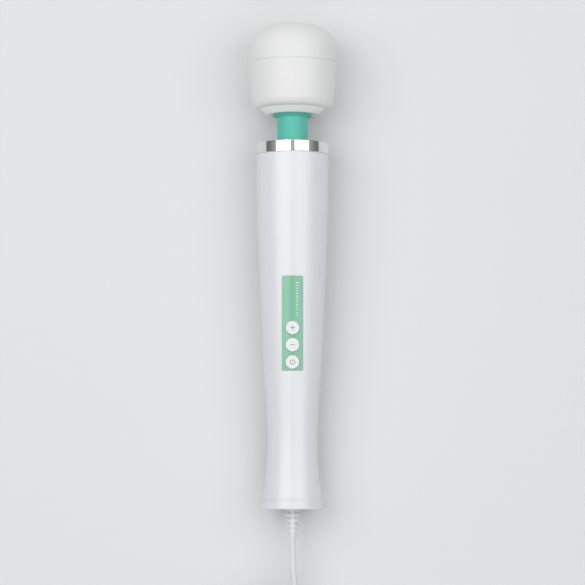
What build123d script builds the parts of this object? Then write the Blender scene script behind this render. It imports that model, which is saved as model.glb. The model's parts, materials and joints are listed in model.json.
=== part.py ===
from build123d import *
import math
import os

# Handheld wand massager with a low-voltage cord and a wall adapter.
#
# The wand is drawn upright: its axis is Z, the handle's end face is at z = 0, the head's
# crown is at the top, and the control panel faces -Y. lying then lays it on its back on the
# table, z = 0, with its head towards +Y and its panel up. The cord and the adapter are drawn
# where they lie. The origin is on the table, under the middle of the wand's own box.
# All sizes are millimetres.

# ---------------------------------------------------------------- driving dimensions
# handle
handle_length = 232.4  # end face to the collar
base_radius = 20.0
flare_radius = 18.4
flare_height = 14.0
waist_radius = 16.5
waist_height = 35.0
grip_radius = 18.2
grip_height = 81.0
shoulder_radius = 21.4
shoulder_height = 143.0
top_radius = 24.0
wall = 2.2
base_cap_height = 6.0
spigot_depth = 6.0
cap_floor = 2.5
collar_height = 7.6
collar_wall = 1.1

# neck
neck_length = 19.2  # visible, collar to head
neck_radius = 10.15
neck_wall = 1.65
neck_lip_out = 2.45  # how far the lip under the head stands out of the neck
neck_lip = 1.3
hinge_inset = 4.8  # from each end of the visible neck to the place where it bends

# head
head_radius = 29.5
head_height = 57.0  # silicone, without the ring under it
dome_height = 20.0
dome_power = 2.5  # exponent of the dome's superellipse: 2 would be an ellipse
head_low_radius = 27.2
head_corner = 6.0
seam_height = 30.2  # above the silicone's lower edge
head_rest = 26.0  # above the same edge: here the head meets the table
silicone = 3.0
core_wall = 2.5
core_parting = 27.0  # above the silicone's lower edge
ring_height = 3.8
ring_low_radius = 17.5
ring_top_radius = 21.8

# control panel and buttons
panel_low = 89.8
panel_length = 61.3
panel_width = 13.6
panel_corner = 1.0
panel_thick = 1.2
panel_proud = 0.2
button_radius = 4.5
lowest_button = 95.3
button_order = ("power", "minus", "plus")  # from the lowest
button_gap = 0.3  # between two flanges
button_proud = 0.5
button_travel = 0.5
button_flange_out = 0.9
button_stem = 1.7

# control board
board_front = 9.0  # its front face, in front of the axis
board_thick = 1.6
board_width = 19.6
board_overlap = 5.8  # how far it runs past the panel at each end
switch_side = 6.0
switch_height = 3.4

# motor
motor_radius = 17.9
motor_length = 48.0
motor_drop = 16.4  # can's front face below the collar
can_wall = 1.4
endbell_length = 4.5
shaft_radius = 1.6
air_gap = 0.5  # armature to magnets
armature_length = 26.0
magnet_thick = 1.5

# drive and eccentric
hub_radius = 4.0
drive_mean_radius = 3.0
drive_wire = 1.2
drive_pitch = 1.5
eccentric_shaft_radius = 2.5
weight_radius = 14.0
weight_length = 14.0
weight_shift = 0.8  # from the middle between the bearings towards the neck
bearing_radius = 8.0
bearing_width = 5.0
neck_spring_gap = 0.3  # wire to sleeve
neck_spring_wire = 1.8
neck_spring_pitch = 3.9

# cord
cord_diameter = 4.0
cord_length = 3500.0
relief_length = 18.5
relief_radius = 5.0
relief_tip_radius = 3.6
relief_slots = 5
relief_pitch = 3.4
relief_flange = 1.4  # the collar that holds a strain relief in its housing
relief_slot = 1.5
tie_thick = 0.5
tie_width = 8.0
tie_shift = 0.35  # towards the coil's middle, because the coil's inner face curves more

# adapter
adapter_width = 42.0
adapter_length = 74.0
adapter_height = 32.0
adapter_wall = 2.0
adapter_corner = 6.0
adapter_pin_radius = 2.0
adapter_pin_length = 19.0
adapter_pin_shoulder = 2.7  # where a pin passes through the housing
adapter_pin_spacing = 18.6
adapter_relief_length = 18.0

# fits
slip = 0.15  # between a part and the pocket it sits in
skin_gap = 0.1  # between a skin and what it covers
run_gap = 0.05  # between a shaft and its bush

# ---------------------------------------------------------------- places that follow
collar_top = handle_length + collar_height
head_bottom = collar_top + neck_length
silicone_bottom = head_bottom + ring_height
crown = silicone_bottom + head_height
widest = crown - dome_height
seam = silicone_bottom + seam_height
parting = silicone_bottom + core_parting
panel_middle = panel_low + panel_length / 2
board_low = panel_low - board_overlap
board_high = panel_low + panel_length + board_overlap
motor_top = handle_length - motor_drop
motor_low = motor_top - motor_length
endbell_low = motor_low - endbell_length
lower_hinge = collar_top + hinge_inset
upper_hinge = head_bottom - hinge_inset
armature_radius = motor_radius - can_wall - magnet_thick - air_gap
neck_spring_radius = neck_radius - neck_wall - neck_spring_wire / 2 - neck_spring_gap
neck_lip_radius = neck_radius + neck_lip_out
button_flange = button_radius + button_flange_out
button_pitch = 2 * button_flange + button_gap
button_heights = {name: lowest_button + i * button_pitch for i, name in enumerate(button_order)}
reach = 2 * head_radius  # longer than any piece is deep, for cuts that go right through

# The wand lies on the rim of its base and on its head, where the side is still a little slanted.
tilt = math.degrees(math.asin((head_radius - base_radius) / (silicone_bottom + head_rest)))
middle = (crown - relief_length) / 2
middle_height = base_radius * math.cos(math.radians(tilt)) + middle * math.sin(math.radians(tilt))
lying = Pos(0, 0, middle_height) * Rot(tilt - 90, 0, 0) * Pos(0, 0, -middle)
on_table = Location()

os.makedirs("parts", exist_ok=True)


def save(builder, name, place=lying):
    """Writes a finished piece where it lies, under its node's name."""
    piece = place * builder.part
    piece.label = name
    export_step(piece, f"parts/{name}.step")


# ---------------------------------------------------------------- outlines
def handle_stations(offset):
    """The handle's outline as (radius, height) points, moved out by offset."""
    stations = [
        (base_radius, 0),
        (flare_radius, flare_height),
        (waist_radius, waist_height),
        (grip_radius, grip_height),
        (shoulder_radius, shoulder_height),
        (top_radius, handle_length),
    ]
    return [(radius + offset, height) for radius, height in stations]


def handle_edge(offset):
    """The handle's outline from base to collar, for an open line or on its own."""
    return Spline(*handle_stations(offset), tangents=[(-0.04, 1), (0.01, 1)])


handle_line = handle_edge(0)


def radius_at(height):
    """The handle's outer radius at a height."""
    low, high = 0.0, 1.0
    for _ in range(40):
        half = (low + high) / 2
        if (handle_line @ half).Y < height:
            low = half
        else:
            high = half
    return (handle_line @ low).X


def handle_wall(outside, inside):
    """The handle's wall between two offsets of its outline, as a part."""
    with BuildPart() as turned:
        with BuildSketch(Plane.XZ):
            with BuildLine():
                outer = handle_edge(outside)
                inner = handle_edge(inside)
                Line(outer @ 0, inner @ 0)
                Line(outer @ 1, inner @ 1)
            make_face()
        revolve(axis=Axis.Z)
    return turned.part


def handle_solid(offset):
    """Everything inside an offset of the handle's outline, as a part."""
    with BuildPart() as turned:
        with BuildSketch(Plane.XZ):
            with BuildLine():
                outer = handle_edge(offset)
                Polyline(outer @ 1, (0, handle_length), (0, 0), outer @ 0)
            make_face()
        revolve(axis=Axis.Z)
    return turned.part


def head_solid(offset):
    """Everything inside the head's silicone, moved in by offset, as a part."""
    wide = head_radius - offset
    tall = dome_height - offset
    low = silicone_bottom + offset
    low_radius = head_low_radius - offset
    corner = max(head_corner - offset, 0.5)
    dome = [
        (wide * (1 - share**dome_power) ** (1 / dome_power), widest + tall * share)
        for share in (0, 0.3, 0.55, 0.75, 0.88, 0.96)
    ]
    with BuildPart() as turned:
        with BuildSketch(Plane.XZ):
            with BuildLine():
                over = Spline(*dome, (0, widest + tall), tangents=[(0, 1), (-1, 0)])
                side = Spline((low_radius, low + corner), over @ 0, tangents=[(0.3, 1), (0, 1)])
                turn = TangentArc(side @ 0, (low_radius - corner, low), tangent=(-0.3, -1))
                Polyline(turn @ 1, (0, low), (0, widest + tall))
            make_face()
        revolve(axis=Axis.Z)
    return turned.part


def slab(low, high, mode=Mode.INTERSECT):
    """Keeps or cuts what lies between two heights, in the open part."""
    tube(2 * reach, 0, low, high, mode)


def tube(outer, inner, low, high, mode=Mode.ADD):
    """A plain ring about the wand's axis, in the open part."""
    with BuildPart() as ring:
        with BuildSketch(Plane.XY.offset(low)):
            Circle(outer)
            if inner:
                Circle(inner, mode=Mode.SUBTRACT)
        extrude(amount=high - low)
    add(ring.part, mode=mode)


# ---------------------------------------------------------------- handle shells
screw_rows = ((9.0, waist_height + 15), (board_width / 2 + 4.2, board_high - 2.9))
shell_screws_at = [(side * x, z) for x, z in screw_rows for side in (-1, 1)]
post_x = board_width / 2 - 2.8
board_posts_at = [(side * post_x, z) for z in (board_low + 3, board_high - 3) for side in (-1, 1)]
clamp_height = 22.0
clamp_post_x = 6.5
screw_head_depth = 5.0  # the rear counterbore's floor, behind the axis


def shell_half(keep):
    """Half of the handle's wall, above the base cap, in the open part."""
    add(handle_wall(0, -wall))
    slab(base_cap_height, handle_length)
    split(bisect_by=Plane.XZ, keep=keep)


def inside_only():
    """Trims what was added to the open part to the handle's outline."""
    add(handle_solid(0), mode=Mode.INTERSECT)


with BuildPart() as panel_pocket:
    add(handle_wall(2, -panel_thick - panel_proud))
    with BuildSketch(Plane.XZ):
        with Locations((0, panel_middle)):
            RectangleRounded(
                panel_width + 2 * skin_gap, panel_length + 2 * skin_gap, panel_corner + skin_gap
            )
    extrude(amount=reach, mode=Mode.INTERSECT)

with BuildPart() as front_shell:
    shell_half(Keep.TOP)
    with BuildSketch(Plane.XZ):
        with Locations(*shell_screws_at):
            Circle(3.2)
    extrude(amount=reach)
    with BuildSketch(Plane.XZ.offset(board_front)):
        with Locations(*board_posts_at):
            Circle(2.2)
    extrude(amount=reach)
    inside_only()
    add(panel_pocket.part, mode=Mode.SUBTRACT)
    with BuildSketch(Plane.XZ):
        with Locations(*shell_screws_at):
            Circle(1.45)
    extrude(amount=9, mode=Mode.SUBTRACT)
    with BuildSketch(Plane.XZ.offset(board_front)):
        with Locations(*board_posts_at):
            Circle(0.8)
    extrude(amount=4, mode=Mode.SUBTRACT)
    with BuildSketch(Plane.XZ.offset(board_front)):
        with Locations(*[(0, z) for z in button_heights.values()]):
            Circle(button_radius + slip)
    extrude(amount=reach, mode=Mode.SUBTRACT)
save(front_shell, "front_shell")

with BuildPart() as rear_shell:
    shell_half(Keep.BOTTOM)
    with BuildSketch(Plane.XZ):
        with Locations(*shell_screws_at):
            Circle(4.2)
    extrude(amount=-reach)
    with BuildSketch(Plane.XZ.offset(-cord_diameter / 2 - run_gap)):
        with Locations((0, clamp_height)):
            Rectangle(8, 4)
    extrude(amount=-reach)
    with BuildSketch(Plane.XZ.offset(cord_diameter / 2)):
        with Locations((-clamp_post_x, clamp_height), (clamp_post_x, clamp_height)):
            Circle(2.4)
    extrude(amount=-reach)
    inside_only()
    with BuildSketch(Plane.XZ):
        with Locations(*shell_screws_at):
            Circle(1.6)
    extrude(amount=-reach, mode=Mode.SUBTRACT)
    with BuildSketch(Plane.XZ.offset(-screw_head_depth)):
        with Locations(*shell_screws_at):
            Circle(2.9)
    extrude(amount=-reach, mode=Mode.SUBTRACT)
    with BuildSketch(Plane.XZ.offset(cord_diameter / 2)):
        with Locations((-clamp_post_x, clamp_height), (clamp_post_x, clamp_height)):
            Circle(0.95)
    extrude(amount=-8, mode=Mode.SUBTRACT)
save(rear_shell, "rear_shell")

with BuildPart() as shell_screws:
    with BuildSketch(Plane.XZ.offset(-screw_head_depth)):
        with Locations(*shell_screws_at):
            Circle(1.4)
    extrude(amount=screw_head_depth + 7)
    with BuildSketch(Plane.XZ.offset(-screw_head_depth)):
        with Locations(*shell_screws_at):
            Circle(2.7)
    extrude(amount=-2)
    with BuildSketch(Plane.XZ.offset(-screw_head_depth - 2)):
        with Locations(*shell_screws_at):
            RectangleRounded(3.2, 0.7, 0.2)
            RectangleRounded(0.7, 3.2, 0.2)
    extrude(amount=1.1, mode=Mode.SUBTRACT)
save(shell_screws, "shell_screws")

with BuildPart() as screw_plugs:
    add(handle_wall(-0.1, -2.4))
    with BuildSketch(Plane.XZ):
        with Locations(*shell_screws_at):
            Circle(2.9 - slip / 2)
    extrude(amount=-reach, mode=Mode.INTERSECT)
save(screw_plugs, "screw_plugs")

with BuildPart() as cap_spigot:
    add(handle_wall(-wall - slip, -wall - slip - 1.6))
    slab(0, base_cap_height + spigot_depth)

with BuildPart() as base_cap:
    add(handle_wall(0, -wall - slip))
    slab(0, base_cap_height - skin_gap)
    add(cap_spigot.part)
    tube(base_radius - wall, relief_radius + skin_gap, 0, cap_floor)
    chamfer(base_cap.edges().group_by(Axis.Z)[0].sort_by(SortBy.RADIUS)[-1], 0.5)
save(base_cap, "base_cap")

# ---------------------------------------------------------------- collar and neck socket
with BuildPart() as neck_socket:
    tube(neck_radius + 2.75, 5.5, handle_length - 8, handle_length - 5.5)
    tube(neck_radius + 2.75, neck_radius + slip, handle_length - 5.5, collar_top - 0.6)
    tube(top_radius - collar_wall - slip, neck_radius + slip, collar_top - 3.1, collar_top - 0.6)
    tube(top_radius - collar_wall - slip, top_radius - wall - 1.2, handle_length, collar_top - 3.1)
    tube(top_radius - wall - slip, top_radius - wall - 2.4, handle_length - 8, handle_length)
    tube(top_radius - wall - slip, neck_radius + 2, handle_length - 8, handle_length - 5.5)
save(neck_socket, "neck_socket")

with BuildPart() as collar_ring:
    tube(top_radius, top_radius - collar_wall, handle_length + skin_gap, collar_top)
    tube(top_radius, top_radius - 2.2, collar_top - 0.55, collar_top)
    fillet(collar_ring.edges().group_by(Axis.Z)[-1].sort_by(SortBy.RADIUS)[-1], 0.5)
    fillet(collar_ring.edges().group_by(Axis.Z)[0].sort_by(SortBy.RADIUS)[-1], 0.3)
save(collar_ring, "collar_ring")

# ---------------------------------------------------------------- neck
socket_floor = handle_length - 5.5
cup_floor = silicone_bottom + silicone + skin_gap

with BuildPart() as neck_sleeve:
    tube(neck_radius, neck_radius - neck_wall, socket_floor + skin_gap, cup_floor - 0.3)
    tube(neck_lip_radius, neck_radius, head_bottom - neck_lip - skin_gap, head_bottom - skin_gap)
    fillet(neck_sleeve.edges().filter_by(GeomType.CIRCLE).sort_by(SortBy.RADIUS)[-2:], 0.4)
save(neck_sleeve, "neck_sleeve")


def wound(mean_radius, wire, pitch, low, high):
    """A round wire wound about the wand's axis between two heights, in the open part."""
    with BuildPart() as spring:
        with BuildLine() as turns:
            Helix(pitch, high - low - wire, mean_radius, center=(0, 0, low + wire / 2))
        with BuildSketch(Plane(origin=turns.line @ 0, z_dir=turns.line % 0)):
            Circle(wire / 2)
        sweep(path=turns.line, is_frenet=True)
    add(spring.part)


with BuildPart() as neck_spring:
    wound(neck_spring_radius, neck_spring_wire, neck_spring_pitch, socket_floor + 0.2, cup_floor - 0.2)
save(neck_spring, "neck_spring")

# ---------------------------------------------------------------- drive from motor to head
spigot = 5.0
lower_hub_low = handle_length - 8.4
lower_hub_high = handle_length - 0.4
upper_hub_low = silicone_bottom - 3.0
upper_hub_high = silicone_bottom + 2.5
motor_shaft_high = lower_hub_high + 3.5

with BuildPart() as lower_coupling_hub:
    tube(hub_radius, shaft_radius, lower_hub_low, lower_hub_high)
    tube(drive_mean_radius - drive_wire / 2 - skin_gap, shaft_radius, lower_hub_high, lower_hub_high + spigot)
save(lower_coupling_hub, "lower_coupling_hub")

with BuildPart() as upper_coupling_hub:
    tube(hub_radius, eccentric_shaft_radius, upper_hub_low + 1.5, upper_hub_high)
    tube(hub_radius, 0, upper_hub_low, upper_hub_low + 1.5)
    tube(drive_mean_radius - drive_wire / 2 - skin_gap, 0, upper_hub_low - spigot, upper_hub_low)
save(upper_coupling_hub, "upper_coupling_hub")

with BuildPart() as drive_coil:
    wound(drive_mean_radius, drive_wire, drive_pitch, lower_hub_high + skin_gap, upper_hub_low - skin_gap)
save(drive_coil, "flexible_drive_coil")

# ---------------------------------------------------------------- motor
with BuildPart() as motor_can:
    tube(motor_radius, motor_radius - can_wall, motor_low, motor_top)
    tube(motor_radius, 0, motor_top - can_wall, motor_top)
    tube(6.5, 0, motor_top, motor_top + 4.5)
    tube(4.0, 0, motor_top - can_wall, motor_top + 4.0, mode=Mode.SUBTRACT)
    tube(shaft_radius + 0.5, 0, motor_top, motor_top + 4.5, mode=Mode.SUBTRACT)
    fillet(motor_can.edges().filter_by(GeomType.CIRCLE).group_by(Axis.Z)[-3].sort_by(SortBy.RADIUS)[-1], 1.0)
save(motor_can, "motor_can")

with BuildPart() as motor_endbell:
    tube(motor_radius, 3.4, endbell_low, motor_low)
    tube(motor_radius - can_wall - slip, motor_radius - can_wall - 2, motor_low, motor_low + 3)
    tube(5.5, 3.4, endbell_low - 3, endbell_low)
    tube(5.5, 0, endbell_low - 4, endbell_low - 3)
    with BuildSketch(Plane.XY.offset(endbell_low - 1)):
        with Locations((-9, 0), (9, 0)):
            Rectangle(3.4, 1.0)
    extrude(amount=endbell_length + 2, mode=Mode.SUBTRACT)
save(motor_endbell, "motor_endbell")

with BuildPart() as motor_bushings:
    tube(3.4, shaft_radius + run_gap, endbell_low - 3, endbell_low + 1)
    tube(4.0, shaft_radius + run_gap, motor_top - can_wall, motor_top + 4)
save(motor_bushings, "motor_bushings")

with BuildPart() as motor_magnets:
    tube(motor_radius - can_wall, motor_radius - can_wall - magnet_thick, motor_low + 9, motor_top - 6)
    with BuildSketch(Plane.XY.offset(motor_low)):
        Rectangle(9, 2 * reach)
    extrude(amount=motor_length, mode=Mode.SUBTRACT)
save(motor_magnets, "motor_magnets")

armature_low = motor_low + 12.5
commutator_low = motor_low + 3.0

with BuildPart() as motor_shaft:
    tube(shaft_radius, 0, endbell_low - 2.8, motor_shaft_high)
save(motor_shaft, "motor_shaft")

with BuildPart() as motor_armature:
    tube(armature_radius, shaft_radius, armature_low, armature_low + armature_length)
    with BuildSketch(Plane.XY.offset(armature_low)):
        with PolarLocations(armature_radius - 2.5, 5):
            Rectangle(7, 2.4)
    extrude(amount=armature_length, mode=Mode.SUBTRACT)
save(motor_armature, "motor_armature")

with BuildPart() as motor_windings:
    with BuildSketch(Plane.XY.offset(armature_low - 3.2)):
        Circle(armature_radius - 3.5)
        Circle(shaft_radius + 1.2, mode=Mode.SUBTRACT)
    extrude(amount=3.2)
    with BuildSketch(Plane.XY.offset(armature_low + armature_length)):
        Circle(armature_radius - 3.5)
        Circle(shaft_radius + 1.2, mode=Mode.SUBTRACT)
    extrude(amount=3.2)
    fillet(motor_windings.edges().filter_by(GeomType.CIRCLE).sort_by(SortBy.RADIUS)[-4:], 1.4)
save(motor_windings, "motor_windings")

with BuildPart() as motor_commutator:
    tube(5.0, shaft_radius, commutator_low, commutator_low + 6)
    with BuildSketch(Plane.XY.offset(commutator_low)):
        with PolarLocations(4.6, 5):
            Rectangle(1.4, 0.5)
    extrude(amount=6, mode=Mode.SUBTRACT)
save(motor_commutator, "motor_commutator")

with BuildPart() as motor_brushes:
    with BuildSketch(Plane.XY.offset(commutator_low + 1)):
        with Locations((-7.5, 0), (7.5, 0)):
            Rectangle(4.6, 3)
    extrude(amount=4)
save(motor_brushes, "motor_brushes")

with BuildPart() as motor_terminals:
    with BuildSketch(Plane.XY.offset(endbell_low - 5)):
        with Locations((-9, 0), (9, 0)):
            Rectangle(3.0, 0.8)
    extrude(amount=endbell_length + 6)
save(motor_terminals, "motor_terminals")

with BuildPart() as motor_mounts:
    add(handle_solid(-wall - skin_gap))
    slab(motor_low + 4, motor_top - 4)
    tube(reach, 0, motor_low + 12, motor_top - 12, mode=Mode.SUBTRACT)
    tube(motor_radius + run_gap, 0, motor_low, motor_top, mode=Mode.SUBTRACT)
save(motor_mounts, "motor_mounts")

# ---------------------------------------------------------------- control board
contact_heights = list(button_heights.values())
switch_top = board_front - skin_gap + switch_height

with BuildPart() as control_board:
    with BuildSketch(Plane.XZ.offset(board_front - skin_gap)):
        with Locations((0, (board_low + board_high) / 2)):
            RectangleRounded(board_width, board_high - board_low, 1.5)
        with Locations(*board_posts_at):
            Circle(1.1, mode=Mode.SUBTRACT)
        with Locations(*shell_screws_at[2:]):
            Circle(5.0, mode=Mode.SUBTRACT)
    extrude(amount=-board_thick)
save(control_board, "control_board")

with BuildPart() as board_screws:
    with BuildSketch(Plane.XZ.offset(board_front - board_thick - skin_gap)):
        with Locations(*board_posts_at):
            Circle(1.8)
    extrude(amount=-1.2)
    with BuildSketch(Plane.XZ.offset(board_front - board_thick - skin_gap)):
        with Locations(*board_posts_at):
            Circle(0.75)
    extrude(amount=board_thick + 3.5)
save(board_screws, "board_screws")

with BuildPart() as tact_switches:
    with BuildSketch(Plane.XZ.offset(board_front - skin_gap)):
        with Locations(*[(0, z) for z in contact_heights]):
            RectangleRounded(switch_side, switch_side, 0.3)
    extrude(amount=switch_height)
save(tact_switches, "tact_switches")

with BuildPart() as board_parts:
    board_back = board_front - board_thick - skin_gap
    with BuildSketch(Plane.XZ.offset(board_back)):
        with Locations((0, board_low + 15)):
            Rectangle(6.2, 5)
        with Locations((-6, board_low + 24), (6, board_low + 24)):
            Circle(2.5)
        with Locations((0, board_high - 26.9)):
            Rectangle(9, 6)
    extrude(amount=-2.4)
    with BuildSketch(Plane.XZ.offset(board_back)):
        with Locations((0, board_high - 15.9)):
            Rectangle(8, 4)
        with Locations((0, board_low + 6.5)):
            Rectangle(8, 4)
    extrude(amount=-4)
save(board_parts, "board_components")

# ---------------------------------------------------------------- panel and buttons
with BuildPart() as control_panel:
    with BuildSketch(Plane.XZ.offset(board_front)):
        with Locations((0, panel_middle)):
            RectangleRounded(panel_width, panel_length, panel_corner)
        with Locations(*[(0, z) for z in contact_heights]):
            Circle(button_radius + slip, mode=Mode.SUBTRACT)
    extrude(amount=reach)
    add(handle_solid(panel_proud), mode=Mode.INTERSECT)
    add(handle_solid(-panel_thick), mode=Mode.SUBTRACT)
save(control_panel, "control_panel")

for button_name, button_height in button_heights.items():
    face_out = radius_at(button_height) + panel_proud + button_proud
    shell_inside = radius_at(button_height - button_flange) - wall
    flange_out = math.sqrt(shell_inside**2 - button_flange**2) - skin_gap
    with BuildPart() as button:
        with BuildSketch(Plane.XZ.offset(flange_out - 1.2)):
            with Locations((0, button_height)):
                Circle(button_radius)
        extrude(amount=face_out - flange_out + 1.2)
        with BuildSketch(Plane.XZ.offset(flange_out - 1.2)):
            with Locations((0, button_height)):
                Circle(button_flange)
        extrude(amount=1.2)
        with BuildSketch(Plane.XZ.offset(switch_top + button_travel + skin_gap)):
            with Locations((0, button_height)):
                Circle(button_stem)
        extrude(amount=flange_out - 1.2 - switch_top - button_travel - skin_gap)
        fillet(button.edges().filter_by(GeomType.CIRCLE).group_by(Axis.Y)[0], 0.4)
    save(button, f"button_{button_name}")

# ---------------------------------------------------------------- head
core_offset = silicone + skin_gap
core_floor = cup_floor + core_wall
neck_tube_radius = neck_radius + slip + core_wall
post_radius = 3.0
post_circle = head_low_radius - core_offset - core_wall - post_radius - 0.4
lower_bearing = core_floor
upper_bearing = widest + 4.0
upper_bearing_top = upper_bearing + bearing_width
shaft_top = upper_bearing_top + 0.8
weight_low = (lower_bearing + bearing_width + upper_bearing - weight_length) / 2 - weight_shift


def silicone_skin():
    """The head's silicone as one skin, in the open part."""
    add(head_solid(0))
    add(head_solid(silicone), mode=Mode.SUBTRACT)


def core_shell():
    """The hard shell under the silicone, in the open part."""
    add(head_solid(core_offset))
    add(head_solid(core_offset + core_wall), mode=Mode.SUBTRACT)


def posts(radius, low, high, mode=Mode.ADD):
    """Three round posts or holes for the core's screws, in the open part."""
    with BuildPart() as group:
        with BuildSketch(Plane.XY.offset(low)):
            with PolarLocations(post_circle, 3, start_angle=90):
                Circle(radius)
        extrude(amount=high - low)
    add(group.part, mode=mode)


with BuildPart() as head_cap:
    silicone_skin()
    slab(seam, crown)
save(head_cap, "head_cap")

with BuildPart() as head_sleeve:
    silicone_skin()
    slab(silicone_bottom, seam)
    tube(neck_tube_radius + slip, 0, silicone_bottom, cup_floor, mode=Mode.SUBTRACT)
save(head_sleeve, "head_sleeve")

with BuildPart() as head_core_lower:
    core_shell()
    slab(cup_floor, parting)
    posts(post_radius, cup_floor, parting)
    tube(bearing_radius + 2, 0, cup_floor, core_floor + bearing_width)
    tube(neck_tube_radius, neck_radius + slip, head_bottom, cup_floor)
    tube(bearing_radius, 0, core_floor, core_floor + bearing_width, mode=Mode.SUBTRACT)
    tube(5.4, 0, cup_floor, core_floor, mode=Mode.SUBTRACT)
    posts(1.6, cup_floor, parting, mode=Mode.SUBTRACT)
    posts(2.8, cup_floor, core_floor, mode=Mode.SUBTRACT)
save(head_core_lower, "head_core_lower")

with BuildPart() as head_core_upper:
    core_shell()
    slab(parting, crown)
    posts(post_radius, parting, crown)
    tube(bearing_radius + 2, 0, upper_bearing, crown)
    add(head_solid(core_offset), mode=Mode.INTERSECT)
    tube(bearing_radius, 0, upper_bearing, upper_bearing_top, mode=Mode.SUBTRACT)
    tube(5.4, 0, upper_bearing_top, upper_bearing_top + 2, mode=Mode.SUBTRACT)
    posts(1.35, parting, parting + 9, mode=Mode.SUBTRACT)
save(head_core_upper, "head_core_upper")

with BuildPart() as core_screws:
    posts(2.6, cup_floor + 0.3, core_floor)
    posts(1.3, core_floor, parting + 8)
save(core_screws, "core_screws")

with BuildPart() as head_base_ring:
    with BuildSketch(Plane.XZ):
        with BuildLine():
            Polyline(
                (neck_tube_radius + slip, head_bottom),
                (ring_low_radius, head_bottom),
                (ring_top_radius, silicone_bottom),
                (neck_tube_radius + slip, silicone_bottom),
                close=True,
            )
        make_face()
    revolve(axis=Axis.Z)
    fillet(head_base_ring.edges().group_by(Axis.Z)[0].sort_by(SortBy.RADIUS)[-1], 0.6)
save(head_base_ring, "head_base_ring")

ball_radius = 1.2
inner_race_radius = 4.0
ball_circle = inner_race_radius + run_gap + ball_radius

with BuildPart() as bearing_outer_races:
    for low in (lower_bearing, upper_bearing):
        tube(bearing_radius, ball_circle + ball_radius + run_gap, low, low + bearing_width)
save(bearing_outer_races, "bearing_outer_races")

with BuildPart() as bearing_balls:
    for low in (lower_bearing, upper_bearing):
        with Locations((0, 0, low + bearing_width / 2)):
            with PolarLocations(ball_circle, 9):
                Sphere(ball_radius)
save(bearing_balls, "bearing_balls")

with BuildPart() as bearing_inner_races:
    for low in (lower_bearing, upper_bearing):
        tube(inner_race_radius, eccentric_shaft_radius, low, low + bearing_width)
save(bearing_inner_races, "bearing_inner_races")

with BuildPart() as eccentric_shaft:
    tube(eccentric_shaft_radius, 0, upper_hub_low + 1.5, shaft_top)
save(eccentric_shaft, "eccentric_shaft")

with BuildPart() as eccentric_weight:
    tube(weight_radius, 0, weight_low, weight_low + weight_length)
    with BuildSketch(Plane.XY.offset(weight_low)):
        with Locations((0, -reach / 2)):
            Rectangle(reach, reach)
    extrude(amount=weight_length, mode=Mode.SUBTRACT)
    tube(5.5, 0, weight_low, weight_low + weight_length)
    tube(eccentric_shaft_radius, 0, weight_low, weight_low + weight_length, mode=Mode.SUBTRACT)
    with BuildSketch(Plane.XZ):
        with Locations((0, weight_low + weight_length / 2)):
            Circle(1.5)
    extrude(amount=reach, mode=Mode.SUBTRACT)
save(eccentric_weight, "eccentric_weight")

with BuildPart() as weight_screw:
    with BuildSketch(Plane.XZ.offset(eccentric_shaft_radius)):
        with Locations((0, weight_low + weight_length / 2)):
            Circle(1.5)
    extrude(amount=2.8)
    with BuildSketch(Plane.XZ.offset(eccentric_shaft_radius + 2.8)):
        with Locations((0, weight_low + weight_length / 2)):
            RegularPolygon(0.8, 6)
    extrude(amount=-1.4, mode=Mode.SUBTRACT)
save(weight_screw, "weight_screw")

# ---------------------------------------------------------------- cord entry and leads
with BuildPart() as cord_relief:
    with BuildSketch(Plane.XZ):
        with BuildLine():
            Polyline(
                (cord_diameter / 2, -relief_length),
                (relief_tip_radius, -relief_length),
                (relief_radius, -1.5),
                (relief_radius, cap_floor + skin_gap),
                (relief_radius + relief_flange, cap_floor + skin_gap),
                (relief_radius + relief_flange, cap_floor + 2.0),
                (cord_diameter / 2, cap_floor + 2.0),
                close=True,
            )
        make_face()
    revolve(axis=Axis.Z)
    for row in range(relief_slots):
        low = -relief_length + 1.7 + row * relief_pitch
        with BuildSketch(Plane.XY.offset(low)):
            Circle(2 * relief_radius)
            Circle(cord_diameter / 2 + 0.7, mode=Mode.SUBTRACT)
            Rectangle(2.2, 4 * relief_radius, mode=Mode.SUBTRACT)
        extrude(amount=relief_slot, mode=Mode.SUBTRACT)
save(cord_relief, "cord_relief")

tail_top = clamp_height + 10

with BuildPart() as cord_tail:
    tube(cord_diameter / 2, 0, -relief_length, tail_top)
save(cord_tail, "cord_tail")

with BuildPart() as cord_clamp:
    with BuildSketch(Plane.XZ.offset(cord_diameter / 2 + run_gap)):
        with Locations((0, clamp_height)):
            RectangleRounded(2 * clamp_post_x + 5, 5, 1.5)
        with Locations((-clamp_post_x, clamp_height), (clamp_post_x, clamp_height)):
            Circle(1.1, mode=Mode.SUBTRACT)
    extrude(amount=1.8)
save(cord_clamp, "cord_clamp")

with BuildPart() as clamp_screws:
    with BuildSketch(Plane.XZ.offset(cord_diameter / 2 + run_gap + 1.8)):
        with Locations((-clamp_post_x, clamp_height), (clamp_post_x, clamp_height)):
            Circle(1.8)
    extrude(amount=1.3)
    with BuildSketch(Plane.XZ.offset(cord_diameter / 2 + run_gap + 1.8)):
        with Locations((-clamp_post_x, clamp_height), (clamp_post_x, clamp_height)):
            Circle(0.9)
    extrude(amount=-8)
save(clamp_screws, "clamp_screws")

lead_radius = 0.7


def lead(*points):
    """A thin insulated wire through the given points, in the open part."""
    with BuildPart() as wire:
        with BuildLine() as route:
            FilletPolyline(*points, radius=2.5)
        with BuildSketch(Plane(origin=route.line @ 0, z_dir=route.line % 0)):
            Circle(lead_radius)
        sweep(path=route.line)
    add(wire.part)


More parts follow.
